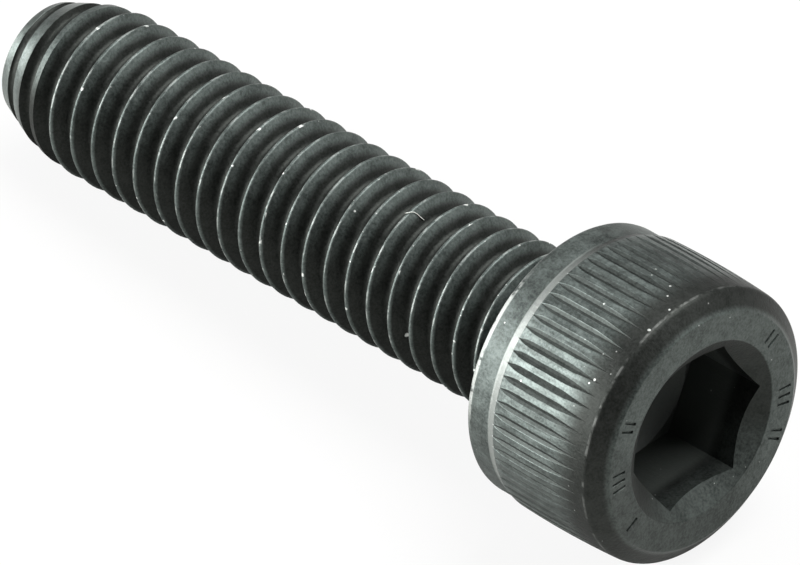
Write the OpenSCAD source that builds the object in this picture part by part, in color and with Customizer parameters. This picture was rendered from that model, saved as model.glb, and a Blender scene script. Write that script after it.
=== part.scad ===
// Hex socket cap screw, threaded up to its head, lying on its side.
// The shapes are built upright about their own axis: the head's underside is at height 0,
// the head is above it and the thread below. lying() then lays the finished screw down.

/* [Thread] */
// Outside diameter, across the thread's crests
thread_d = 5.82; // [5:0.02:6.8]
// Distance from one crest to the next
thread_pitch = 1; // [0.7:0.05:1.25]
// Radial depth of the thread, from crest to root
thread_depth = 0.57; // [0.3:0.01:0.6]
// Width of the flat along each crest
crest_flat = 0.13; // [0.05:0.01:0.2]
// Angle between the two flanks of a crest
flank_angle = 60; // [50:1:62]
// Height of the first crest above the head's underside, on the side that the screw lies on
crest_phase = 0.73; // [0:0.01:1]
// Length from the head's underside to the end of the tip
shank_len = 24.7; // [12:0.1:60]
// Diameter of the tip's flat end
tip_d = 4.2; // [2.5:0.1:4.4]
// Slope of the tip's cone, measured from the axis
tip_angle = 21; // [15:1:30]
// Length of that cone
tip_cone_len = 1.6; // [0.8:0.1:2]
// Slope of the lead that narrows the crests above the cone, measured from the axis
lead_angle = 9; // [6:1:14]

/* [Head] */
// Diameter across the knurl's lands
head_d = 9.96; // [8.8:0.02:12]
// Height of the head
head_h = 6; // [5:0.1:8]
// Diameter of the plain band next to the underside
band_d = 9.72; // [8.4:0.02:12]
// Height of the plain band
band_h = 1.25; // [0.6:0.05:2]
// Radius of the rounded edge between the underside and the band
under_edge_r = 0.3; // [0.05:0.05:0.6]
// Diameter of the flat top face
face_d = 8.5; // [7:0.1:9]
// Height of the sloping corner between the knurled side and the top face
corner_h = 0.46; // [0.2:0.02:1]
// Radius that blends the sloping corner into the knurled side
shoulder_r = 0.6; // [0.1:0.1:1]
// Radius of the fillet between the shank and the head's underside
neck_fillet_r = 0.4; // [0.1:0.05:0.6]
// Diameter of the shank where it meets that fillet
neck_d = 5.3; // [4.4:0.1:6]

/* [Knurl] */
// Number of grooves around the head
groove_count = 70; // [24:1:90]
// Height over which the knurl rises from the band to its full diameter
knurl_lead_h = 0.2; // [0.05:0.05:0.5]
// Depth of a groove at its lower end
groove_depth = 0.17; // [0.05:0.01:0.3]
// Width of a groove at its lower end
groove_w = 0.24; // [0.08:0.01:0.3]
// Length over which a groove runs out towards the top
groove_len = 3.9; // [2:0.1:4]
// Angle by which the first land is turned from the side that the screw lies on
groove_phase = 0.5; // [-8:0.5:8]

/* [Socket] */
// Width across the flats of the hex socket
socket_af = 5.06; // [4:0.01:5.2]
// Depth of the hex socket's flats, from the top face
socket_depth = 3.2; // [2:0.1:4]
// Angle of the socket's conical floor, measured across the cone
socket_floor_angle = 130; // [110:1:160]
// Diameter of the countersunk mouth at the top face
mouth_d = 6.5; // [6.1:0.1:7]
// Angle across the countersunk mouth
mouth_angle = 110; // [90:1:120]
// Angle by which the socket's corners are turned about the axis
socket_turn = 30.5; // [0:0.5:60]

/* [Hidden] */

// Steps for round surfaces that stay true circles
round_fn = 96;
// Facets of the thread for each turn
turn_steps = 40;
// Straight pieces in each small rounded edge
edge_steps = 4;
// Amount by which a cutter reaches past the surface that it cuts
cut_over = 1;

crest_r = thread_d / 2;
root_r = crest_r - thread_depth;
flank_w = thread_depth * tan(flank_angle / 2);
head_r = head_d / 2;
band_r = band_d / 2;
face_r = face_d / 2;
neck_r = neck_d / 2;
tip_r = tip_d / 2;

// Section of one pitch: height above the crest's lower edge, and radius
thread_section = [
    [0, crest_r],
    [crest_flat, crest_r],
    [crest_flat + flank_w, root_r],
    [thread_pitch - flank_w, root_r]
];
section_points = len(thread_section);

// The threaded rod starts below the tip and ends inside the head, and both ends are cut off or buried
turns_below = ceil((shank_len + cut_over) / thread_pitch) + 1;
rod_start = crest_phase - crest_flat / 2 - turns_below * thread_pitch;
bury = 0.3;
rod_turns = ceil((bury - rod_start) / thread_pitch);
rod_steps = rod_turns * turn_steps;

// Where the tip's cone meets the lead
cone_z = -shank_len + tip_cone_len;
cone_r = tip_r + tip_cone_len * tan(tip_angle);

// Radius of the crests at a height: the lead and the cone make it smaller near the tip
function crest_r_at(z) =
    min(crest_r, cone_r + (z - cone_z) * tan(z > cone_z ? lead_angle : tip_angle));

// How the screw lies: the lower end of the knurl touches the ground, and so does the crest
// that makes the smallest tilt
knurl_z = band_h + knurl_lead_h;
crest_count = floor((crest_phase + shank_len) / thread_pitch);
crest_tilts = [for (i = [1:crest_count])
    let (z = crest_phase - i * thread_pitch)
    atan((head_r - crest_r_at(z)) / (knurl_z - z))];
lying_tilt = min(crest_tilts);
lift = head_r * cos(lying_tilt) - knurl_z * sin(lying_tilt);
// Ends of the screw along the ground before it is centred
top_reach = head_h * cos(lying_tilt) + face_r * sin(lying_tilt);
tip_reach = -shank_len * cos(lying_tilt) - tip_r * sin(lying_tilt);

// Points of a round edge between two angles
function arc(centre, r, from, to) =
    [for (i = [0:edge_steps]) let (a = from + (to - from) * i / edge_steps)
        centre + r * [cos(a), sin(a)]];

// Point of the thread's surface: step along the helix, and place in the section
function rod_point(step, place) =
    let (
        turned = 360 * step / turn_steps,
        r = thread_section[place][1],
        z = rod_start + thread_pitch * step / turn_steps + thread_section[place][0]
    )
    [r * cos(turned), r * sin(turned), z];

// Number of that point in the list: the place after the last is the next turn's first
function rod_number(step, place) =
    place == section_points ? rod_number(step + turn_steps, 0) :
    step <= rod_steps ? step * section_points + place :
    (rod_steps + 1) * section_points + step - rod_steps - 1;

// One long thread with stepped ends, closed by fans about two points of the axis
module threaded_rod() {
    body_points = [for (s = [0:rod_steps]) for (p = [0:section_points - 1]) rod_point(s, p)];
    last_turn = [for (s = [rod_steps + 1:rod_steps + turn_steps]) rod_point(s, 0)];
    low_centre = len(body_points) + len(last_turn);
    high_centre = low_centre + 1;
    centres = [[0, 0, rod_start], [0, 0, rod_start + thread_pitch * rod_turns]];
    strips = [for (s = [0:rod_steps - 1]) for (p = [0:section_points - 1]) each [
        [rod_number(s, p), rod_number(s, p + 1), rod_number(s + 1, p + 1)],
        [rod_number(s, p), rod_number(s + 1, p + 1), rod_number(s + 1, p)]
    ]];
    low_ramp = [for (s = [0:turn_steps - 1])
        [low_centre, rod_number(s, 0), rod_number(s + 1, 0)]];
    low_step = [for (p = [0:section_points - 1])
        [low_centre, rod_number(0, p + 1), rod_number(0, p)]];
    high_ramp = [for (s = [rod_steps:rod_steps + turn_steps - 1])
        [high_centre, rod_number(s + 1, 0), rod_number(s, 0)]];
    high_step = [for (p = [0:section_points - 1])
        [high_centre, rod_number(rod_steps, p), rod_number(rod_steps, p + 1)]];
    polyhedron(
        points = concat(body_points, last_turn, centres),
        faces = concat(strips, low_ramp, low_step, high_ramp, high_step),
        convexity = 10
    );
}

// What is cut away at the tip: all below the flat end, and all outside the cone and the lead
module tip_cut() {
    outer_r = crest_r + cut_over;
    rotate_extrude($fn = round_fn)
        polygon([
            [0, -shank_len],
            [tip_r, -shank_len],
            [cone_r, cone_z],
            [outer_r, cone_z + (outer_r - cone_r) / tan(lead_angle)],
            [outer_r, rod_start - cut_over],
            [0, rod_start - cut_over]
        ]);
}

module shank() {
    difference() {
        threaded_rod();
        tip_cut();
    }
    // Fillet that carries the shank into the head's underside
    rotate_extrude($fn = round_fn)
        polygon(concat(
            [[0, bury], [neck_r + neck_fillet_r, bury]],
            arc([neck_r + neck_fillet_r, -neck_fillet_r], neck_fillet_r, 90, 180),
            [[0, -neck_fillet_r]]
        ));
}

// Solid head with its rounded edges, before the knurl and the socket are cut
module head_blank() {
    corner_slope = atan((head_r - face_r) / corner_h);
    shoulder_z = head_h - corner_h;
    shoulder_drop = shoulder_r * tan(corner_slope / 2);
    rotate_extrude($fn = round_fn)
        polygon(concat(
            [[0, 0]],
            arc([band_r - under_edge_r, under_edge_r], under_edge_r, -90, 0),
            [[band_r, band_h], [head_r, knurl_z]],
            arc([head_r - shoulder_r, shoulder_z - shoulder_drop], shoulder_r, 0, corner_slope),
            [[face_r, head_h], [0, head_h]]
        ));
}

// Cutter of one groove: a wedge that leans outwards, so that the groove runs out before the corner
module groove_cut() {
    lean = atan(groove_depth / groove_len);
    half_w = groove_w / 2 * (groove_depth + cut_over) / groove_depth;
    translate([head_r - groove_depth, 0, band_h])
        rotate([0, lean, 0])
            linear_extrude(height = groove_len + cut_over)
                polygon([[0, 0], [groove_depth + cut_over, -half_w], [groove_depth + cut_over, half_w]]);
}

module knurl_cuts() {
    for (i = [0:groove_count - 1])
        rotate([0, 0, groove_phase + (i + 0.5) * 360 / groove_count])
            groove_cut();
}

module socket_cut() {
    corner_r = socket_af / 2 / cos(30);
    floor_h = socket_af / 2 / tan(socket_floor_angle / 2);
    mouth_r = mouth_d / 2;
    mouth_h = mouth_r / tan(mouth_angle / 2);
    over_r = mouth_r + cut_over * tan(mouth_angle / 2);
    rotate([0, 0, socket_turn])
        translate([0, 0, head_h - socket_depth])
            cylinder(h = socket_depth + cut_over, r = corner_r, $fn = 6);
    // Conical floor
    translate([0, 0, head_h - socket_depth - floor_h])
        cylinder(h = floor_h, r1 = 0, r2 = socket_af / 2, $fn = round_fn);
    // Countersunk mouth
    translate([0, 0, head_h - mouth_h])
        cylinder(h = mouth_h + cut_over, r1 = 0, r2 = over_r, $fn = round_fn);
}

module head() {
    difference() {
        head_blank();
        knurl_cuts();
        socket_cut();
    }
}

// Lays an upright screw down, tip towards -X, and centres it over the origin
module lying() {
    translate([-(top_reach + tip_reach) / 2, 0, lift])
        rotate([0, 90 - lying_tilt, 0])
            children();
}

module cap_screw() {
    color("#2b2d2b")
        lying() {
            shank();
            head();
        }
}

cap_screw();
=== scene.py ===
import math

import bmesh
import bpy
from mathutils import Matrix, Vector


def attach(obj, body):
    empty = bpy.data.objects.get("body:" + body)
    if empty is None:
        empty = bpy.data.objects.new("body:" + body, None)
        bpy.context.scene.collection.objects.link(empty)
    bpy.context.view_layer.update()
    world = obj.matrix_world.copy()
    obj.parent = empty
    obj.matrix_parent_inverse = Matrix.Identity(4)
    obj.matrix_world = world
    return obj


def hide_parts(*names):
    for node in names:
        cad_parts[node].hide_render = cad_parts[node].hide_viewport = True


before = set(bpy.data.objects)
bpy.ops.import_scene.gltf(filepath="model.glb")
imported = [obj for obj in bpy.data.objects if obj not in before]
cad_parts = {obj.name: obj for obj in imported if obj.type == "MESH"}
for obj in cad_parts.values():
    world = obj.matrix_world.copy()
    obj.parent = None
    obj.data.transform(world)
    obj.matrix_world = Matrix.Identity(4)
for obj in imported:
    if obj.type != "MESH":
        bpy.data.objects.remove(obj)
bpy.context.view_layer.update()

MM = 0.001

# How far a cutter reaches past what it cuts, in millimetres
CUT_OVER = 1.0

# Thread, in millimetres, with a flank's slope in degrees from the radius. The crest's height
# is that of the thread's upper end, on the side that the screw lies on
PITCH = 1.0
CREST_R = 2.91
DEPTH = 0.58
CREST_ROUND = 0.08
FLANK_ANGLE = 30
CREST_HEIGHT = 0.73
TURNS = 27
TURN_STEPS = 72
CREST_STEPS = 6

# Shank and tip, in millimetres: a flat end, a cone and a lead that narrows the crests above it
SHANK_LENGTH = 24.7
TIP_R = 2.1
TIP_CONE_LENGTH = 1.6
TIP_ANGLE = math.radians(21)
LEAD_ANGLE = math.radians(9)
TIP_STEPS = 144
# Where the root starts to sink with the cone, by how much for each millimetre, in what steps,
# and how far past the tip
RUN_OUT_TOP = -23.3
RUN_OUT_SLOPE = 0.19
RUN_OUT_STEP = 0.05
RUN_OUT_PAST = 0.3

# Head, in millimetres. Its side is a slight barrel, and a sloping lip joins that to the band
HEAD_R = 4.98
HEAD_HEIGHT = 6.0
NECK_R = 2.6
NECK_FILLET = 0.4
NECK_BURY = 0.05
BAND_R = 4.86
UNDER_EDGE_ROUND = 0.26
LIP_ROUND = 0.04
LIP_FOOT = 1.12
LIP_TOP = 1.42
BARREL_R = 5.0
BARREL_MIDDLE = 3.0
BARREL_BULGE = 0.014
SHOULDER_HEIGHT = 5.53
SHOULDER_ROUND = 0.25
FACE_R = 4.25
FACE_ROUND = 0.10
EDGE_STEPS = 4

# Edges sharper than this stay sharp in the shading
SMOOTH_ANGLE = math.radians(25)

# Knurl, in millimetres and degrees: one tooth is a groove with half a land on each side. A
# groove deepens over its rise and runs out over its fall, and its half width is its spread
# times its depth
TEETH = 70
TOOTH = 360 / TEETH
GROOVE_TURN = 3.12
GROOVE_FOOT = 1.29
GROOVE_DEPTH = 0.058
GROOVE_SPREAD = 2.1
GROOVE_RISE = 0.5
GROOVE_FALL = 1.3
KNURL_TOP = 5.15
KNURL_GAP = 0.05
KNURL_ROWS = 14
TOOTH_STEPS = 4

# Within this distance two places are the same
NEAR = 1e-4

# Socket, in millimetres and degrees. Its conical floor starts a little inside the flats
SOCKET_FLATS = 5.06
SOCKET_DEPTH = 3.2
SOCKET_FLOOR_ANGLE = 130
FLOOR_INSET = 0.02
FLOOR_OVERLAP = 0.5
FLOOR_STEPS = 96
SOCKET_TURN = 30.5
MOUTH_R = 3.26
MOUTH_SLOPE = 0.70
MOUTH_ROUND = 0.03

# Stamped strokes on the top face, in millimetres and degrees. The photograph shows lettering
# there, which isn't copied: each place has a few plain strokes
MARK_R = 3.82
STROKE_LENGTH = 0.60
STROKE_WIDTH = 0.15
STROKE_DEPTH = 0.06
STROKE_GAP = 0.30
STROKE_TAPER = (0.86, 0.4, 1)
MARK_PLACES = ((-123, 2), (-93, 3), (-62, 1), (58, 2), (79, 3), (119, 2))

# Chips that the photograph shows on the head: degrees round the screw, height and size
CHIPS = ((-122, 2.15, 0.05), (-163, 3.36, 0.05), (171, 3.49, 0.06), (175, 3.65, 0.04),
         (175, 4.49, 0.06), (180, 4.79, 0.05), (-175, 5.30, 0.06), (-163, 5.37, 0.08),
         (-136, 4.78, 0.07), (-134, 4.66, 0.05), (-138, 0.51, 0.04))
# Pale residue on the thread: radius, degrees, height and size
RESIDUE = ((2.75, -153, -8.54, 0.06), (2.44, -83.5, -5.17, 0.11))

# A loose fibre caught on the thread: radius, degrees and height of the points along it
FIBRE = ((2.93, -167.5, -6.82), (2.94, -170, -6.68), (2.88, -172.5, -6.66),
         (2.75, -174.5, -6.60), (2.62, -175.2, -6.50), (2.48, -177.0, -6.42))
FIBRE_R = 0.022

# Grain of the oxide in millimetres, drawn as coarse as the picture can show: its crystals, its
# mottling, the lines that forming left along the head and how far they are stretched, the
# patches of wear along the crests and the dents. Specks are counted along a millimetre
FINE_GRAIN = 0.09
MOTTLE_GRAIN = 0.45
LINE_GRAIN = 0.14
LINE_SQUASH = 0.12
PATCH_GRAIN = 0.55
DENT_GRAIN = 0.3
SPECKS_PER_MM = 2.2
RELIEF_DEPTH = 0.02
FUZZ_GRAIN = 0.05

# How far the oxide is rubbed grey, from 0 to 1. The thread's value also lightens its upper flanks
# as painted light, the mouth's second value is painted light on one side, and the face's second
# value is painted shade on one side. Where there are two values, streaks, mottling or one side of
# the screw add the second to the first
THREAD_WEAR_AND_LIGHT = 0.8
TIP_WEAR = 0.85
LAND_WEAR = (0.55, 0.40)
GROOVE_WEAR = 0.25
BAND_WEAR = (0.30, 0.6)
FACE_WEAR_AND_SHADE = (0.48, -0.20)
MOUTH_WEAR_AND_LIGHT = (0.02, 0.32)
UNDERSIDE_WEAR = 0.5

# How far the steel shows bare, from 0 to 1
CREST_LINE_BARE = 0.25
# Strength of the painted highlight along the rim under the head, on the side facing the side light
RIM_PAINTED_HIGHLIGHT = 0.45
SHOULDER_BARE = 0.12
SPECK_BARE = 0.35
CHIP_BARE = 0.7

# Sides of the screw where painted light and painted shade fall: degrees round it, and half the
# width in degrees
LIT_UPPER_SIDE = (170, 85)
LIP_HIGHLIGHT_SIDE = (-120, 75)
RIM_HIGHLIGHT_SIDE = (-126, 38)
FACE_SHADE_SIDE = (-35, 90)
MOUTH_LIGHT_SIDE = (5, 70)

# Heights in the socket: the lowest part of its mouth that is lightened, mostly by painted light,
# and both ends of its depths, which are painted lighter to lift their shade
MOUTH_LOW = 4.6
DEPTHS_LOW = 1.2
DEPTHS_HIGH = 4.4

# Roughness of whole oxide, what polishing takes off it, how far the grain varies it, and how
# much less metallic bare places look and the socket's depths, which are painted lighter to lift
# their shade
ROUGHNESS = 0.53
POLISH = 0.10
GRAIN_ROUGHNESS = 0.12
DUST_AND_SOCKET_FILL = 0.6

# How the screw lies: the tilt of its axis, and the height on the head that touches the floor
TILT = math.radians(5.1417)
CONTACT_HEIGHT = 1.45

# The photograph's camera: its place in millimetres and its direction in degrees
PICTURE_WIDTH = 800
FOCAL_PIXELS = 16949.1
SENSOR = 36.0
EYE_MM = Vector((298.2105, -294.4253, 370.5081))
ELEVATION = 41.3023
AZIMUTH = 45.2387


# Work in edit mode
def start_point(name):
    """A new object with one vertex at its origin, left in edit mode."""
    bpy.ops.object.select_all(action="DESELECT")
    bpy.ops.mesh.primitive_plane_add(size=1, location=(0, 0, 0))
    piece = bpy.context.object
    piece.name = name
    bpy.ops.object.mode_set(mode="EDIT")
    bpy.ops.mesh.select_mode(type="VERT")
    bpy.ops.mesh.select_all(action="SELECT")
    bpy.ops.mesh.merge(type="CENTER")
    return piece


def draw_outline(name, points):
    """An open line through (radius, height) points, drawn by extruding one vertex along it."""
    piece = start_point(name)
    here = Vector((points[0][0], 0, points[0][1]))
    bpy.ops.transform.translate(value=here)
    for radius, height in points[1:]:
        there = Vector((radius, 0, height))
        bpy.ops.mesh.extrude_region_move(TRANSFORM_OT_translate={"value": there - here})
        here = there
    bpy.ops.mesh.select_all(action="SELECT")
    return piece


def weld(distance=0.0002):
    bpy.ops.mesh.select_all(action="SELECT")
    bpy.ops.mesh.remove_doubles(threshold=distance)
    bpy.ops.mesh.normals_make_consistent(inside=False)


def select_where(piece, wanted):
    """Selects the vertices that the given test of (radius, angle in degrees, height) accepts."""
    mesh = bmesh.from_edit_mesh(piece.data)
    for vertex in mesh.verts:
        x, y, z = vertex.co
        vertex.select = wanted(math.hypot(x, y), math.degrees(math.atan2(y, x)), z)
    mesh.select_flush(True)
    bmesh.update_edit_mesh(piece.data)


def turn_selection(degrees):
    """Turns what is selected about the Z axis; the operator itself counts clockwise."""
    bpy.ops.transform.rotate(value=-math.radians(degrees), orient_axis="Z",
                             center_override=(0, 0, 0))


def spin_selection(steps, degrees, copies=False):
    """Spins what is selected about the Z axis; the operator itself counts clockwise."""
    bpy.ops.mesh.spin(steps=steps, angle=-math.radians(degrees), dupli=copies,
                      center=(0, 0, 0), axis=(0, 0, 1))


def make_active(piece):
    bpy.ops.object.select_all(action="DESELECT")
    bpy.context.view_layer.objects.active = piece
    piece.select_set(True)


def apply_modifier(piece, kind, **settings):
    make_active(piece)
    modifier = piece.modifiers.new(kind.title(), kind)
    for key, value in settings.items():
        setattr(modifier, key, value)
    bpy.ops.object.modifier_apply(modifier=modifier.name)


def combine(piece, other, operation):
    """Cuts the other piece away or adds it, and removes it."""
    apply_modifier(piece, "BOOLEAN", object=other, operation=operation, solver="EXACT")
    bpy.data.objects.remove(other)


def arc_points(centre_r, centre_h, radius, start, end, steps):
    """Points of an arc in the (radius, height) plane, from one angle in degrees to another."""
    angles = [math.radians(start + (end - start) * i / steps) for i in range(steps + 1)]
    return [(centre_r + radius * math.cos(a), centre_h + radius * math.sin(a)) for a in angles]


def rounded(corners):
    """Points along a line of (radius, height, rounding) corners, each one rounded by an arc."""
    points = []
    for number, (radius, height, rounding) in enumerate(corners):
        corner = Vector((radius, height))
        if rounding == 0:
            points.append((radius, height))
            continue
        before = (Vector(corners[number - 1][:2]) - corner).normalized()
        after = (Vector(corners[number + 1][:2]) - corner).normalized()
        half = before.angle(after) / 2
        middle = (before + after).normalized() * (rounding / math.sin(half))
        centre = corner + middle
        first = corner + before * (rounding / math.tan(half)) - centre
        last = corner + after * (rounding / math.tan(half)) - centre
        for i in range(EDGE_STEPS + 1):
            points.append(tuple(centre + first.slerp(last, i / EDGE_STEPS) * rounding))
    return points


# Thread
def thread_section(base):
    """One pitch of thread from the lower end of a crest: a round crest and a round root."""
    flank_tan = math.tan(math.radians(FLANK_ANGLE))
    flank_cos = math.cos(math.radians(FLANK_ANGLE))
    turn = 90 - FLANK_ANGLE
    crest_half = CREST_ROUND * flank_cos
    root_round = PITCH / 2 - crest_half - (DEPTH - CREST_ROUND / 2) * flank_tan
    root_round /= flank_cos - flank_tan / 2
    root_r = CREST_R - DEPTH
    crest = arc_points(CREST_R - CREST_ROUND, base, CREST_ROUND, -turn, turn, CREST_STEPS)
    root = arc_points(root_r + root_round, base + PITCH / 2, root_round,
                      180 + turn, 180 - turn, CREST_STEPS)
    return crest + root + [(crest[0][0], crest[0][1] + PITCH)]


def close_end(piece, near_height):
    """Fills the open end of a thread by drawing its rim in to the axis. The rim at that end
    lies within a few pitches of the given height."""
    reach = 3 * PITCH
    bpy.ops.mesh.select_all(action="DESELECT")
    bpy.ops.mesh.select_non_manifold(extend=False)
    mesh = bmesh.from_edit_mesh(piece.data)
    for edge in mesh.edges:
        if edge.select and any(abs(v.co.z - near_height) > reach for v in edge.verts):
            edge.select_set(False)
    mesh.select_flush_mode()
    bmesh.update_edit_mesh(piece.data)
    bpy.ops.mesh.extrude_edges_move()
    bpy.ops.mesh.merge(type="CENTER")


def sink_run_out(thread):
    """Near the tip the root sinks with the cone, so that the thread runs out on the cone."""
    share = 1 - RUN_OUT_SLOPE * RUN_OUT_STEP / (CREST_R - DEPTH)
    steps = round((SHANK_LENGTH + RUN_OUT_TOP + RUN_OUT_PAST) / RUN_OUT_STEP)
    for number in range(steps):
        top = RUN_OUT_TOP - number * RUN_OUT_STEP
        select_where(thread, lambda r, a, h: h < top)
        bpy.ops.transform.resize(value=(share, share, 1), center_override=(0, 0, 0))


def model_thread():
    base = CREST_HEIGHT - PITCH * TURNS
    thread = draw_outline("thread", thread_section(base))
    bpy.ops.object.mode_set(mode="OBJECT")
    apply_modifier(thread, "SCREW", axis="Z", angle=math.tau, screw_offset=PITCH,
                   iterations=TURNS, steps=TURN_STEPS, render_steps=TURN_STEPS)
    bpy.ops.object.mode_set(mode="EDIT")
    weld()
    bpy.ops.mesh.select_mode(type="EDGE")
    close_end(thread, base)
    close_end(thread, base + PITCH * TURNS)
    bpy.ops.mesh.select_mode(type="VERT")
    weld()
    sink_run_out(thread)
    bpy.ops.object.mode_set(mode="OBJECT")
    return thread


def model_tip_cutter():
    """What the tip's cone, the lead above it and the flat end cut away."""
    outside = CREST_R + CUT_OVER
    cone_top = -SHANK_LENGTH + TIP_CONE_LENGTH
    cone_r = TIP_R + TIP_CONE_LENGTH * math.tan(TIP_ANGLE)
    bottom = CREST_HEIGHT - PITCH * (TURNS + 1) - CUT_OVER
    lead_top = cone_top + (outside - cone_r) / math.tan(LEAD_ANGLE)
    cutter = draw_outline("tip_cutter", [
        (0, -SHANK_LENGTH), (TIP_R, -SHANK_LENGTH), (cone_r, cone_top),
        (outside, lead_top), (outside, bottom), (0, bottom)])
    spin_selection(TIP_STEPS, 360)
    weld()
    bpy.ops.object.mode_set(mode="OBJECT")
    return cutter


# Head
def barrel_radius(height):
    return BARREL_R - BARREL_BULGE * (height - BARREL_MIDDLE) ** 2


def head_outline():
    """(radius, height) from the axis under the head, round its side, into the socket's mouth."""
    lower = rounded([
        (0, -NECK_FILLET - NECK_BURY, 0),
        (NECK_R, -NECK_FILLET - NECK_BURY, 0),
        (NECK_R, 0, NECK_FILLET),
        (BAND_R, 0, UNDER_EDGE_ROUND),
        (BAND_R, LIP_FOOT, LIP_ROUND),
        (barrel_radius(LIP_TOP), LIP_TOP, 0)])
    step = (KNURL_TOP - LIP_TOP) / KNURL_ROWS
    heights = [LIP_TOP + step * (i + 1) for i in range(KNURL_ROWS)]
    side = [(barrel_radius(h), h) for h in heights]
    upper = rounded([
        (barrel_radius(KNURL_TOP + KNURL_GAP), KNURL_TOP + KNURL_GAP, 0),
        (barrel_radius(SHOULDER_HEIGHT), SHOULDER_HEIGHT, SHOULDER_ROUND),
        (FACE_R, HEAD_HEIGHT, FACE_ROUND),
        (MOUTH_R, HEAD_HEIGHT, MOUTH_ROUND),
        (0, HEAD_HEIGHT - MOUTH_SLOPE * MOUTH_R, 0)])
    # The grooves open in a point on the lip
    share = (GROOVE_FOOT - LIP_FOOT) / (LIP_TOP - LIP_FOOT)
    opening = (BAND_R + share * (barrel_radius(LIP_TOP) - BAND_R), GROOVE_FOOT)
    return lower[:-1] + [opening, lower[-1]] + side + upper


def groove_depth(height):
    """Depth of a groove: it deepens quickly from its foot and runs out slowly at the top."""
    share = min(1, (height - GROOVE_FOOT) / GROOVE_RISE, (KNURL_TOP - height) / GROOVE_FALL)
    return GROOVE_DEPTH * max(0, share)


def select_point(piece, radius, degrees, height):
    """Selects the vertices at one radius, angle and height."""
    select_where(piece, lambda r, a, h: abs(h - height) < NEAR and abs(r - radius) < NEAR
                 and abs(a - degrees) < 100 * NEAR)


def press_groove(tooth, rows):
    """Presses a V groove into the middle of a tooth, row by row."""
    arc_length = math.radians(TOOTH) * HEAD_R
    for radius, height in rows:
        depth = groove_depth(height)
        half = depth * GROOVE_SPREAD / arc_length * TOOTH
        for side in (-1, 1):
            select_point(tooth, radius, GROOVE_TURN + side * TOOTH / TOOTH_STEPS, height)
            turn_selection(side * (half - TOOTH / TOOTH_STEPS))
        select_point(tooth, radius, GROOVE_TURN, height)
        share = (radius - depth) / radius
        bpy.ops.transform.resize(value=(share, share, 1), center_override=(0, 0, height))


def model_head():
    """One tooth's share of the head is turned up, its groove is pressed in, and it is repeated."""
    points = head_outline()
    head = draw_outline("head", points)
    turn_selection(GROOVE_TURN - TOOTH / 2)
    spin_selection(TOOTH_STEPS, TOOTH)
    press_groove(head, [p for p in points if GROOVE_FOOT <= p[1] <= KNURL_TOP and p[0] > FACE_R])
    weld(0.00005)
    bpy.ops.mesh.select_all(action="SELECT")
    spin_selection(TEETH - 1, 360 - TOOTH, copies=True)
    weld(0.0005)
    bpy.ops.object.mode_set(mode="OBJECT")
    return head


def model_hex_cutter():
    """The hexagonal part of the socket; the primitive's first corner is on +Y."""
    bpy.ops.object.select_all(action="DESELECT")
    corner = SOCKET_FLATS / 2 / math.cos(math.radians(30))
    bottom = HEAD_HEIGHT - SOCKET_DEPTH
    length = SOCKET_DEPTH + CUT_OVER
    bpy.ops.mesh.primitive_cylinder_add(vertices=6, radius=corner, depth=length,
                                        location=(0, 0, bottom + length / 2),
                                        rotation=(0, 0, math.radians(SOCKET_TURN - 30)))
    cutter = bpy.context.object
    bpy.ops.object.transform_apply(location=True, rotation=True, scale=True)
    return cutter


def model_floor_cutter():
    """The cone that ends the socket, a little narrower than the hexagon's flats."""
    bottom = HEAD_HEIGHT - SOCKET_DEPTH
    slope = math.tan(math.radians(SOCKET_FLOOR_ANGLE / 2))
    rim = SOCKET_FLATS / 2 - FLOOR_INSET
    cutter = draw_outline("floor_cutter", [
        (0, bottom - rim / slope), (rim, bottom),
        (rim, bottom + FLOOR_OVERLAP), (0, bottom + FLOOR_OVERLAP)])
    spin_selection(FLOOR_STEPS, 360)
    weld()
    bpy.ops.object.mode_set(mode="OBJECT")
    return cutter


def lying_matrix():
    """From upright millimetres to the lying screw in metres."""
    top_reach = HEAD_HEIGHT * math.cos(TILT) + FACE_R * math.sin(TILT)
    tip_reach = SHANK_LENGTH * math.cos(TILT) + TIP_R * math.sin(TILT)
    lift = HEAD_R * math.cos(TILT) - CONTACT_HEIGHT * math.sin(TILT)
    underside = Vector(((tip_reach - top_reach) / 2, 0, lift))
    turn = Matrix.Rotation(math.pi / 2 - TILT, 4, "Y")
    return Matrix.Scale(MM, 4) @ Matrix.Translation(underside) @ turn


def on_screw(radius, degrees, height):
    """A point of the upright screw from its radius, its angle and its height."""
    turned = math.radians(degrees)
    return Vector((radius * math.cos(turned), radius * math.sin(turned), height))


def model_stroke():
    """Cutter of one stamped stroke at angle 0: a bar whose end in the steel is narrower."""
    bpy.ops.object.select_all(action="DESELECT")
    bpy.ops.mesh.primitive_cube_add(size=1, location=(MARK_R, 0, HEAD_HEIGHT))
    stroke = bpy.context.object
    stroke.scale = (STROKE_LENGTH, STROKE_WIDTH, STROKE_DEPTH * 2)
    bpy.ops.object.transform_apply(location=True, rotation=True, scale=True)
    bpy.ops.object.mode_set(mode="EDIT")
    select_where(stroke, lambda r, a, h: h < HEAD_HEIGHT)
    bpy.ops.transform.resize(value=STROKE_TAPER)
    bpy.ops.object.mode_set(mode="OBJECT")
    return stroke


def stamp_marks(head):
    pattern = model_stroke()
    spread = math.degrees(STROKE_GAP / MARK_R)
    for place, strokes in MARK_PLACES:
        for number in range(strokes):
            stroke = pattern.copy()
            stroke.data = pattern.data.copy()
            bpy.context.scene.collection.objects.link(stroke)
            turn = place + (number - (strokes - 1) / 2) * spread
            stroke.data.transform(Matrix.Rotation(math.radians(turn), 4, "Z"))
            combine(head, stroke, "DIFFERENCE")
    bpy.data.objects.remove(pattern)


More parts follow.
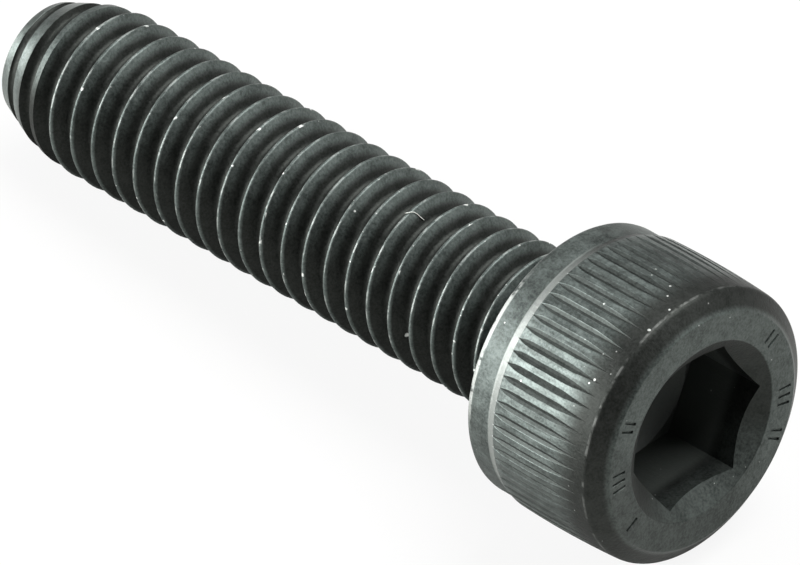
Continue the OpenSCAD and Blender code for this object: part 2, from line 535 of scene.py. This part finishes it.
def model_fibre():
    """A fibre of lint: a thin ring drawn along a slack line and closed at both ends."""
    points = [on_screw(*point) for point in FIBRE]
    bpy.ops.object.select_all(action="DESELECT")
    bpy.ops.mesh.primitive_circle_add(vertices=6, radius=FIBRE_R, fill_type="NGON")
    fibre = bpy.context.object
    fibre.name = "lint_fibre"
    fibre.data.transform((points[1] - points[0]).to_track_quat("Z", "Y").to_matrix().to_4x4())
    fibre.data.transform(Matrix.Translation(points[0]))
    bpy.ops.object.mode_set(mode="EDIT")
    bpy.ops.mesh.select_all(action="SELECT")
    for here, there in zip(points, points[1:]):
        bpy.ops.mesh.extrude_region_move(TRANSFORM_OT_translate={"value": there - here})
    bpy.ops.mesh.select_all(action="SELECT")
    bpy.ops.mesh.normals_make_consistent(inside=False)
    bpy.ops.object.mode_set(mode="OBJECT")
    apply_modifier(fibre, "SUBSURF", levels=2, render_levels=2)
    fibre.data.transform(lying_matrix())
    bpy.ops.object.shade_smooth()
    return fibre


def model_screw():
    thread = model_thread()
    combine(thread, model_tip_cutter(), "DIFFERENCE")
    screw = model_head()
    combine(screw, model_hex_cutter(), "DIFFERENCE")
    combine(screw, model_floor_cutter(), "DIFFERENCE")
    stamp_marks(screw)
    combine(screw, thread, "UNION")
    screw.name = "cap_screw_finish"
    make_active(screw)
    bpy.ops.object.mode_set(mode="EDIT")
    weld()
    bpy.ops.object.mode_set(mode="OBJECT")
    screw.data.transform(lying_matrix())
    bpy.ops.object.shade_smooth_by_angle(angle=SMOOTH_ANGLE)
    return screw


# Looks
def hex_colour(text):
    """Linear colour of an sRGB hex value."""
    parts = [int(text[i:i + 2], 16) / 255 for i in (1, 3, 5)]
    linear = [p / 12.92 if p <= 0.04045 else ((p + 0.055) / 1.055) ** 2.4 for p in parts]
    return (*linear, 1)


def add_node(tree, kind, inputs=None, **settings):
    """A shader node; inputs maps socket names or numbers to values or to other nodes' sockets."""
    made = tree.nodes.new(kind)
    for key, value in settings.items():
        setattr(made, key, value)
    for key, value in (inputs or {}).items():
        if isinstance(value, bpy.types.NodeSocket):
            tree.links.new(value, made.inputs[key])
        else:
            made.inputs[key].default_value = value
    return made


def calculate(tree, operation, first, second=0.0, third=0.0):
    values = {0: first, 1: second, 2: third}
    return add_node(tree, "ShaderNodeMath", values, operation=operation).outputs[0]


def smooth_step(tree, value, low, high):
    """0 below low, 1 above high and smooth between; low may be the larger of the two."""
    values = {"Value": value, "From Min": low, "From Max": high}
    return add_node(tree, "ShaderNodeMapRange", values, interpolation_type="SMOOTHSTEP").outputs[0]


def grain(tree, place, size, detail=2.0, roughness=0.5):
    """Noise from 0 to 1 whose largest features are about size millimetres."""
    values = {"Vector": place, "Scale": 1 / size, "Detail": detail, "Roughness": roughness}
    return add_node(tree, "ShaderNodeTexNoise", values).outputs["Fac"]


def blend_colours(tree, share, first, second):
    values = {"Factor": share, "A": first, "B": second}
    node = tree.nodes.new("ShaderNodeMix")
    node.data_type = "RGBA"
    for key, value in values.items():
        socket = [s for s in node.inputs if s.name == key and s.enabled][0]
        if isinstance(value, bpy.types.NodeSocket):
            tree.links.new(value, socket)
        else:
            socket.default_value = value
    return [s for s in node.outputs if s.enabled][0]


def screw_place(tree):
    """Sockets of a point's place on the upright screw in millimetres: vector, radius, height."""
    matrix = lying_matrix() @ Matrix.Scale(1 / MM, 4)
    turn = matrix.to_3x3().normalized().inverted()
    shift = -(turn @ (matrix.translation / MM))
    coordinates = add_node(tree, "ShaderNodeTexCoord").outputs["Object"]
    place = add_node(tree, "ShaderNodeMapping", {
        "Vector": coordinates, "Location": shift, "Rotation": turn.to_euler(),
        "Scale": (1 / MM, 1 / MM, 1 / MM)}).outputs["Vector"]
    flat = add_node(tree, "ShaderNodeVectorMath", {0: place, 1: (1, 1, 0)}, operation="MULTIPLY")
    radius = add_node(tree, "ShaderNodeVectorMath", {0: flat.outputs[0]}, operation="LENGTH")
    parts = add_node(tree, "ShaderNodeSeparateXYZ", {0: place})
    return place, radius.outputs["Value"], parts.outputs["Z"]


def product(tree, *factors):
    """All the given masks multiplied together."""
    result = factors[0]
    for factor in factors[1:]:
        result = calculate(tree, "MULTIPLY", result, factor)
    return result


def strongest(tree, *masks):
    result = masks[0]
    for mask in masks[1:]:
        result = calculate(tree, "MAXIMUM", result, mask)
    return result


def above(tree, value, limit, edge):
    """0 up to the limit, rising to 1 over the edge's width above it."""
    return smooth_step(tree, value, limit, limit + edge)


def below(tree, value, limit, edge):
    """1 up to the limit, falling to 0 over the edge's width above it."""
    return smooth_step(tree, value, limit + edge, limit)


def between(tree, value, low, high, edge):
    """1 between two values, falling to 0 over the edge's width outside them."""
    return product(tree, above(tree, value, low - edge, edge), below(tree, value, high, edge))


def facing(tree, place, degrees, half_width):
    """1 on the side of the screw at an angle, falling to 0 at half_width degrees from it."""
    flat = add_node(tree, "ShaderNodeVectorMath", {0: place, 1: (1, 1, 0)}, operation="MULTIPLY")
    unit = add_node(tree, "ShaderNodeVectorMath", {0: flat.outputs[0]}, operation="NORMALIZE")
    side = add_node(tree, "ShaderNodeVectorMath", {0: unit.outputs[0], 1: on_screw(1, degrees, 0)},
                    operation="DOT_PRODUCT").outputs["Value"]
    return smooth_step(tree, side, math.cos(math.radians(half_width)),
                       math.cos(math.radians(half_width * 0.5)))


def spots(tree, place, points, ragged):
    """Small spots at the given points: place on the screw, and size. The grain adds from 0 to
    one size to the distance from the point, which makes their edges ragged."""
    masks = []
    for centre, size in points:
        gap = add_node(tree, "ShaderNodeVectorMath", {0: place, 1: centre},
                       operation="DISTANCE").outputs["Value"]
        reach = calculate(tree, "MULTIPLY_ADD", ragged, size, gap)
        masks.append(below(tree, reach, 0.95 * size, 0.4 * size))
    return strongest(tree, *masks)


# Where the oxide is worn. Each function takes the sockets of screw_place and gives masks from
# 0 to 1; the lengths in them are millimetres
def shank_mask(tree, radius, height):
    return product(tree, below(tree, height, -0.15, 0.10),
                   below(tree, radius, CREST_R + 0.05, 0.05))


def head_mask(tree, height):
    """All above the head's flat underside."""
    return above(tree, height, 0, 0.04)


def thread_masks(tree, place, radius, height):
    """The crests, which are worn, and the upper side's flanks, which are lighter as painted light
    where light falls on the screw from above.
    """
    on_shank = shank_mask(tree, radius, height)
    crest = product(tree, above(tree, radius, CREST_R - 0.10, 0.08), on_shank)
    painted_upper_light = product(tree, above(tree, radius, CREST_R - 0.40, 0.28), on_shank,
                           facing(tree, place, *LIT_UPPER_SIDE))
    return crest, painted_upper_light


def tip_mask(tree, radius, height):
    """The tip's cone without the groove that runs out on it, and the flat end."""
    slope = math.tan(TIP_ANGLE)
    cone = calculate(tree, "MULTIPLY_ADD", height, slope, TIP_R + SHANK_LENGTH * slope)
    sunk = calculate(tree, "SUBTRACT", cone, radius)
    on_cone = product(tree, below(tree, height, 1.0 - SHANK_LENGTH, 0.6),
                      below(tree, sunk, 0.005, 0.015))
    return strongest(tree, on_cone, below(tree, height, -SHANK_LENGTH, 0.02))


def knurl_masks(tree, radius, height, mottle):
    """The knurl's lands, and its grooves by how deep they lie below the lands."""
    off_middle = calculate(tree, "POWER", calculate(tree, "SUBTRACT", height, BARREL_MIDDLE), 2)
    barrel = calculate(tree, "MULTIPLY_ADD", off_middle, -BARREL_BULGE, BARREL_R)
    sunk = calculate(tree, "SUBTRACT", barrel, radius)
    ragged_height = calculate(tree, "MULTIPLY_ADD", mottle, 0.8, height)
    on_knurl = product(tree, above(tree, height, LIP_TOP - 0.2, 0.2),
                       below(tree, ragged_height, KNURL_TOP - 0.9, 1.2))
    return (product(tree, below(tree, sunk, 0.002, 0.014), on_knurl),
            product(tree, above(tree, sunk, 0.002, 0.014), on_knurl))


def band_masks(tree, place, radius, height):
    """The plain band, and a painted highlight on the lip between it and the knurl, on the side
    that faces the side light.
    """
    on_head = head_mask(tree, height)
    band = product(tree, above(tree, radius, BAND_R - 0.2, 0.18), on_head,
                   below(tree, height, LIP_FOOT - 0.05, 0.10))
    lip = product(tree, on_head, between(tree, height, LIP_FOOT - 0.04, LIP_TOP - 0.06, 0.05),
                  facing(tree, place, *LIP_HIGHLIGHT_SIDE))
    return band, lip


def underside_mask(tree, radius, height):
    return product(tree, below(tree, height, 0, 0.04), above(tree, radius, NECK_R + 0.2, 0.3))


def face_mask(tree, radius, height):
    return product(tree, above(tree, height, HEAD_HEIGHT - 0.15, 0.13),
                   above(tree, radius, MOUTH_R - 0.05, 0.05))


def socket_masks(tree, radius, height):
    """The socket's mouth, and the walls below it, whose colour is painted lighter to lift their
    shade.
    """
    inside = below(tree, radius, MOUTH_R - 0.05, 0.05)
    mouth = product(tree, inside, above(tree, height, MOUTH_LOW, 0.6))
    painted_socket_fill = product(tree, inside, above(tree, height, DEPTHS_LOW, 0.3),
                     below(tree, height, DEPTHS_HIGH, 0.6))
    return mouth, painted_socket_fill


def bare_steel_and_rim_highlight(tree, place, radius, height, fine, mottle):
    """Where the oxide is gone: broken lines and dents along the crests, the shoulder's edge, and
    the chips, specks and residue. With them goes a painted highlight along the rim under the head,
    on the side that faces the side light."""
    on_shank = shank_mask(tree, radius, height)
    on_head = head_mask(tree, height)
    patches = above(tree, grain(tree, place, PATCH_GRAIN, 4, 0.6), 0.50, 0.12)
    crest_line = product(tree, above(tree, radius, CREST_R - 0.014, 0.011), on_shank, patches)
    dents = product(tree, above(tree, radius, CREST_R - 0.04, 0.03), on_shank,
                    above(tree, grain(tree, place, DENT_GRAIN, 2), 0.66, 0.06))
    # Painted highlight: a broken light line along the rim under the head, on the side facing the
    # side light
    rim = product(tree, between(tree, height, 0, 0.24, 0.06), facing(tree, place, *RIM_HIGHLIGHT_SIDE),
                  above(tree, radius, BAND_R - 0.22, 0.10), above(tree, mottle, 0.36, 0.14))
    on_edge = between(tree, height, SHOULDER_HEIGHT - 0.11, SHOULDER_HEIGHT - 0.06, 0.03)
    shoulder = product(tree, on_edge, above(tree, mottle, 0.4, 0.25),
                       above(tree, radius, BAND_R - 0.1, 0.05))
    chips = spots(tree, place, [(on_screw(barrel_radius(h) if h > LIP_TOP else BAND_R, a, h), size)
                                for a, h, size in CHIPS], fine)
    residue = spots(tree, place, [(on_screw(r, a, h), size) for r, a, h, size in RESIDUE], fine)
    cells = add_node(tree, "ShaderNodeTexVoronoi", {"Vector": place, "Scale": SPECKS_PER_MM})
    chance = add_node(tree, "ShaderNodeSeparateColor", {0: cells.outputs["Color"]}).outputs[0]
    specks = product(tree, below(tree, cells.outputs["Distance"], 0.04, 0.035),
                     above(tree, chance, 0.55, 0.05), on_head)
    return strongest(tree, product(tree, crest_line, CREST_LINE_BARE), dents,
                     product(tree, rim, RIM_PAINTED_HIGHLIGHT), product(tree, shoulder, SHOULDER_BARE),
                     product(tree, specks, SPECK_BARE), product(tree, chips, CHIP_BARE), residue)


def uneven_wear_and_light(tree, mask, more, wear):
    """A worn place: its mask times its usual wear and what another mask adds to that. On the face
    and the socket's mouth the added part is painted shade and painted light on one side.
    """
    usual, added = wear
    return product(tree, mask, calculate(tree, "MULTIPLY_ADD", more, added, usual))


def new_material(name):
    """A material with its node tree and its shader."""
    material = bpy.data.materials.new(name)
    material.use_nodes = True
    tree = material.node_tree
    return material, tree, tree.nodes["Principled BSDF"]


def black_oxide_steel():
    """Blackened alloy steel: nearly black and dull in the thread, dark grey with a satin sheen
    on the face, worn lighter on the knurl's lands and the crests, with steel showing where it was
    chipped.
    Painted light makes the thread's upper flanks, the lip, the rim under the head, one side of the
    socket's mouth and the socket's lower walls lighter, and painted shade darkens one side of the
    face."""
    material, tree, shader = new_material("black_oxide_steel")
    place, radius, height = screw_place(tree)

    # Grain of the oxide, its mottling, and the fine lines that forming left along the head
    fine = grain(tree, place, FINE_GRAIN, 3, 0.6)
    mottle = grain(tree, place, MOTTLE_GRAIN, 3, 0.6)
    along = add_node(tree, "ShaderNodeVectorMath", {0: place, 1: (1, 1, LINE_SQUASH)},
                     operation="MULTIPLY").outputs[0]
    lines = grain(tree, along, LINE_GRAIN, 2)
    texture = calculate(tree, "MULTIPLY_ADD", fine, 0.6, product(tree, mottle, 0.4))
    texture = smooth_step(tree, texture, 0.28, 0.70)

    # How far the oxide is rubbed thin, with painted light on the thread's upper flanks and one
    # side of the socket's mouth, and painted shade on one side of the face
    crest, painted_upper_light = thread_masks(tree, place, radius, height)
    tip = tip_mask(tree, radius, height)
    lands, grooves = knurl_masks(tree, radius, height, mottle)
    band, lip = band_masks(tree, place, radius, height)
    face = face_mask(tree, radius, height)
    mouth, painted_socket_fill = socket_masks(tree, radius, height)
    streaks = above(tree, lines, 0.36, 0.24)
    # Crests: wear. Upper flanks: painted light, grey only on the side that light falls on from
    # above
    wear_and_painted_light = strongest(tree, product(tree, strongest(tree, crest, painted_upper_light), THREAD_WEAR_AND_LIGHT),
                       product(tree, tip, TIP_WEAR),
                       uneven_wear_and_light(tree, lands, streaks, LAND_WEAR),
                       product(tree, grooves, GROOVE_WEAR),
                       uneven_wear_and_light(tree, band, mottle, BAND_WEAR),
                       # The face is grey all round, and painted shade makes it darker on one side
                       uneven_wear_and_light(tree, face, facing(tree, place, *FACE_SHADE_SIDE), FACE_WEAR_AND_SHADE),
                       # The mouth is barely worn, and painted light makes it lighter on its lower
                       # side
                       uneven_wear_and_light(tree, mouth, facing(tree, place, *MOUTH_LIGHT_SIDE), MOUTH_WEAR_AND_LIGHT),
                       product(tree, underside_mask(tree, radius, height), UNDERSIDE_WEAR))
    bare_and_rim_highlight = bare_steel_and_rim_highlight(tree, place, radius, height, fine, mottle)

    # Colours: whole oxide, rubbed oxide with painted light and shade, the lip's painted highlight,
    # the socket's depths painted lighter to lift their shade, and bare steel with the rim's
    # painted highlight
    black = blend_colours(tree, texture, hex_colour("#222422"), hex_colour("#343634"))
    grey = blend_colours(tree, texture, hex_colour("#3f4543"), hex_colour("#6a726f"))
    colour = blend_colours(tree, wear_and_painted_light, black, grey)
    # Painted highlight: the lip is lighter on the side that faces the side light
    colour = blend_colours(tree, lip, colour, hex_colour("#7a7e7b"))
    # Painted light: the socket's walls below the mouth are lighter, lifting their shade
    colour = blend_colours(tree, painted_socket_fill, colour, hex_colour("#3c403d"))
    colour = blend_colours(tree, bare_and_rim_highlight, colour, hex_colour("#c4c7c3"))
    tree.links.new(colour, shader.inputs["Base Color"])

    # Bare spots scatter light as dust does; the socket's depths are made less metallic too, as
    # painted light that lifts their shade
    metallic = calculate(tree, "MULTIPLY_ADD", strongest(tree, bare_and_rim_highlight, painted_socket_fill), -DUST_AND_SOCKET_FILL, 1.0)
    tree.links.new(metallic, shader.inputs["Metallic"])
    rough = calculate(tree, "MULTIPLY_ADD", strongest(tree, lands, face, tip), -POLISH, ROUGHNESS)
    rough = calculate(tree, "MULTIPLY_ADD", calculate(tree, "SUBTRACT", texture, 0.5),
                      GRAIN_ROUGHNESS, rough)
    tree.links.new(rough, shader.inputs["Roughness"])

    # Relief of the grain, as coarse as the picture can show
    head_lines = product(tree, lines, above(tree, height, 0, 0.2))
    relief = calculate(tree, "MULTIPLY_ADD", head_lines, 0.8, fine)
    relief = calculate(tree, "MULTIPLY_ADD", mottle, 0.9, relief)
    bump = add_node(tree, "ShaderNodeBump", {
        "Height": relief, "Strength": 0.5, "Distance": RELIEF_DEPTH * MM})
    tree.links.new(bump.outputs["Normal"], shader.inputs["Normal"])
    return material


def pale_lint():
    """Dull off-white textile fibre, slightly fuzzy in tone."""
    material, tree, shader = new_material("pale_lint")
    place = screw_place(tree)[0]
    fuzz = grain(tree, place, FUZZ_GRAIN, 2)
    colour = blend_colours(tree, fuzz, hex_colour("#8e918c"), hex_colour("#c9ccc6"))
    tree.links.new(colour, shader.inputs["Base Color"])
    shader.inputs["Roughness"].default_value = 0.9
    return material


def pale_floor():
    """Matt white card. The camera sees it close to plain white, with a faint shadow."""
    material, tree, shader = new_material("pale_floor")
    shader.inputs["Base Color"].default_value = hex_colour("#c8c8c6")
    shader.inputs["Roughness"].default_value = 1.0
    white = add_node(tree, "ShaderNodeEmission", {"Color": (1, 1, 1, 1), "Strength": 0.99})
    light_path = add_node(tree, "ShaderNodeLightPath")
    share = calculate(tree, "MULTIPLY", light_path.outputs["Is Camera Ray"], 0.9)
    mixed = add_node(tree, "ShaderNodeMixShader", {
        0: share, 1: shader.outputs[0], 2: white.outputs[0]})
    tree.links.new(mixed.outputs[0], tree.nodes["Material Output"].inputs["Surface"])
    return material


def build_floor():
    bpy.ops.object.select_all(action="DESELECT")
    bpy.ops.mesh.primitive_plane_add(size=3, location=(0, 0, 0))
    floor = bpy.context.object
    floor.name = "floor"
    floor.data.materials.append(pale_floor())


def soft_light(name, direction, distance, size, power):
    """A square soft light that faces the screw from a direction, sizes in metres."""
    away = Vector(direction).normalized()
    data = bpy.data.lights.new(name, "AREA")
    data.size = size
    data.energy = power
    lamp = bpy.data.objects.new(name, data)
    bpy.context.scene.collection.objects.link(lamp)
    lamp.location = away * distance
    lamp.rotation_euler = away.to_track_quat("Z", "Y").to_euler()


def build_lights():
    # Name, direction, distance and width in metres, and watts
    soft_light("side_softbox", (-0.54, -0.775, 0.33), 0.35, 0.24, 2.2)
    soft_light("top_softbox", (0.15, 0.35, 0.93), 0.5, 0.35, 4.5)
    soft_light("back_softbox", (-0.66, 0.30, 0.66), 0.5, 0.40, 0.8)
    soft_light("tip_softbox", (-0.94, -0.30, 0.08), 0.4, 0.14, 1.5)
    soft_light("head_softbox", (0.78, 0.50, 0.36), 0.5, 0.30, 0.75)
    world = bpy.data.worlds.new("studio")
    bpy.context.scene.world = world
    world.use_nodes = True
    background = world.node_tree.nodes["Background"]
    background.inputs["Color"].default_value = (1, 1, 1, 1)
    background.inputs["Strength"].default_value = 0.12


def build_camera():
    data = bpy.data.cameras.new("photo_camera")
    data.sensor_width = SENSOR
    data.lens = SENSOR * FOCAL_PIXELS / PICTURE_WIDTH
    data.clip_start = 0.05
    data.clip_end = 10
    camera = bpy.data.objects.new("photo_camera", data)
    bpy.context.scene.collection.objects.link(camera)
    rise, turn = math.radians(ELEVATION), math.radians(AZIMUTH)
    back = Vector((math.sin(turn) * math.cos(rise), -math.cos(turn) * math.cos(rise),
                   math.sin(rise)))
    camera.location = EYE_MM * MM
    camera.rotation_euler = back.to_track_quat("Z", "Y").to_euler()
    bpy.context.scene.camera = camera


screw = model_screw()
screw.data.materials.clear()
screw.data.materials.append(black_oxide_steel())
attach(screw, "root")
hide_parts("cap_screw")
fibre = model_fibre()
fibre.data.materials.append(pale_lint())
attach(fibre, "root")
build_floor()
build_lights()
build_camera()
bpy.context.scene.view_settings.view_transform = "Standard"
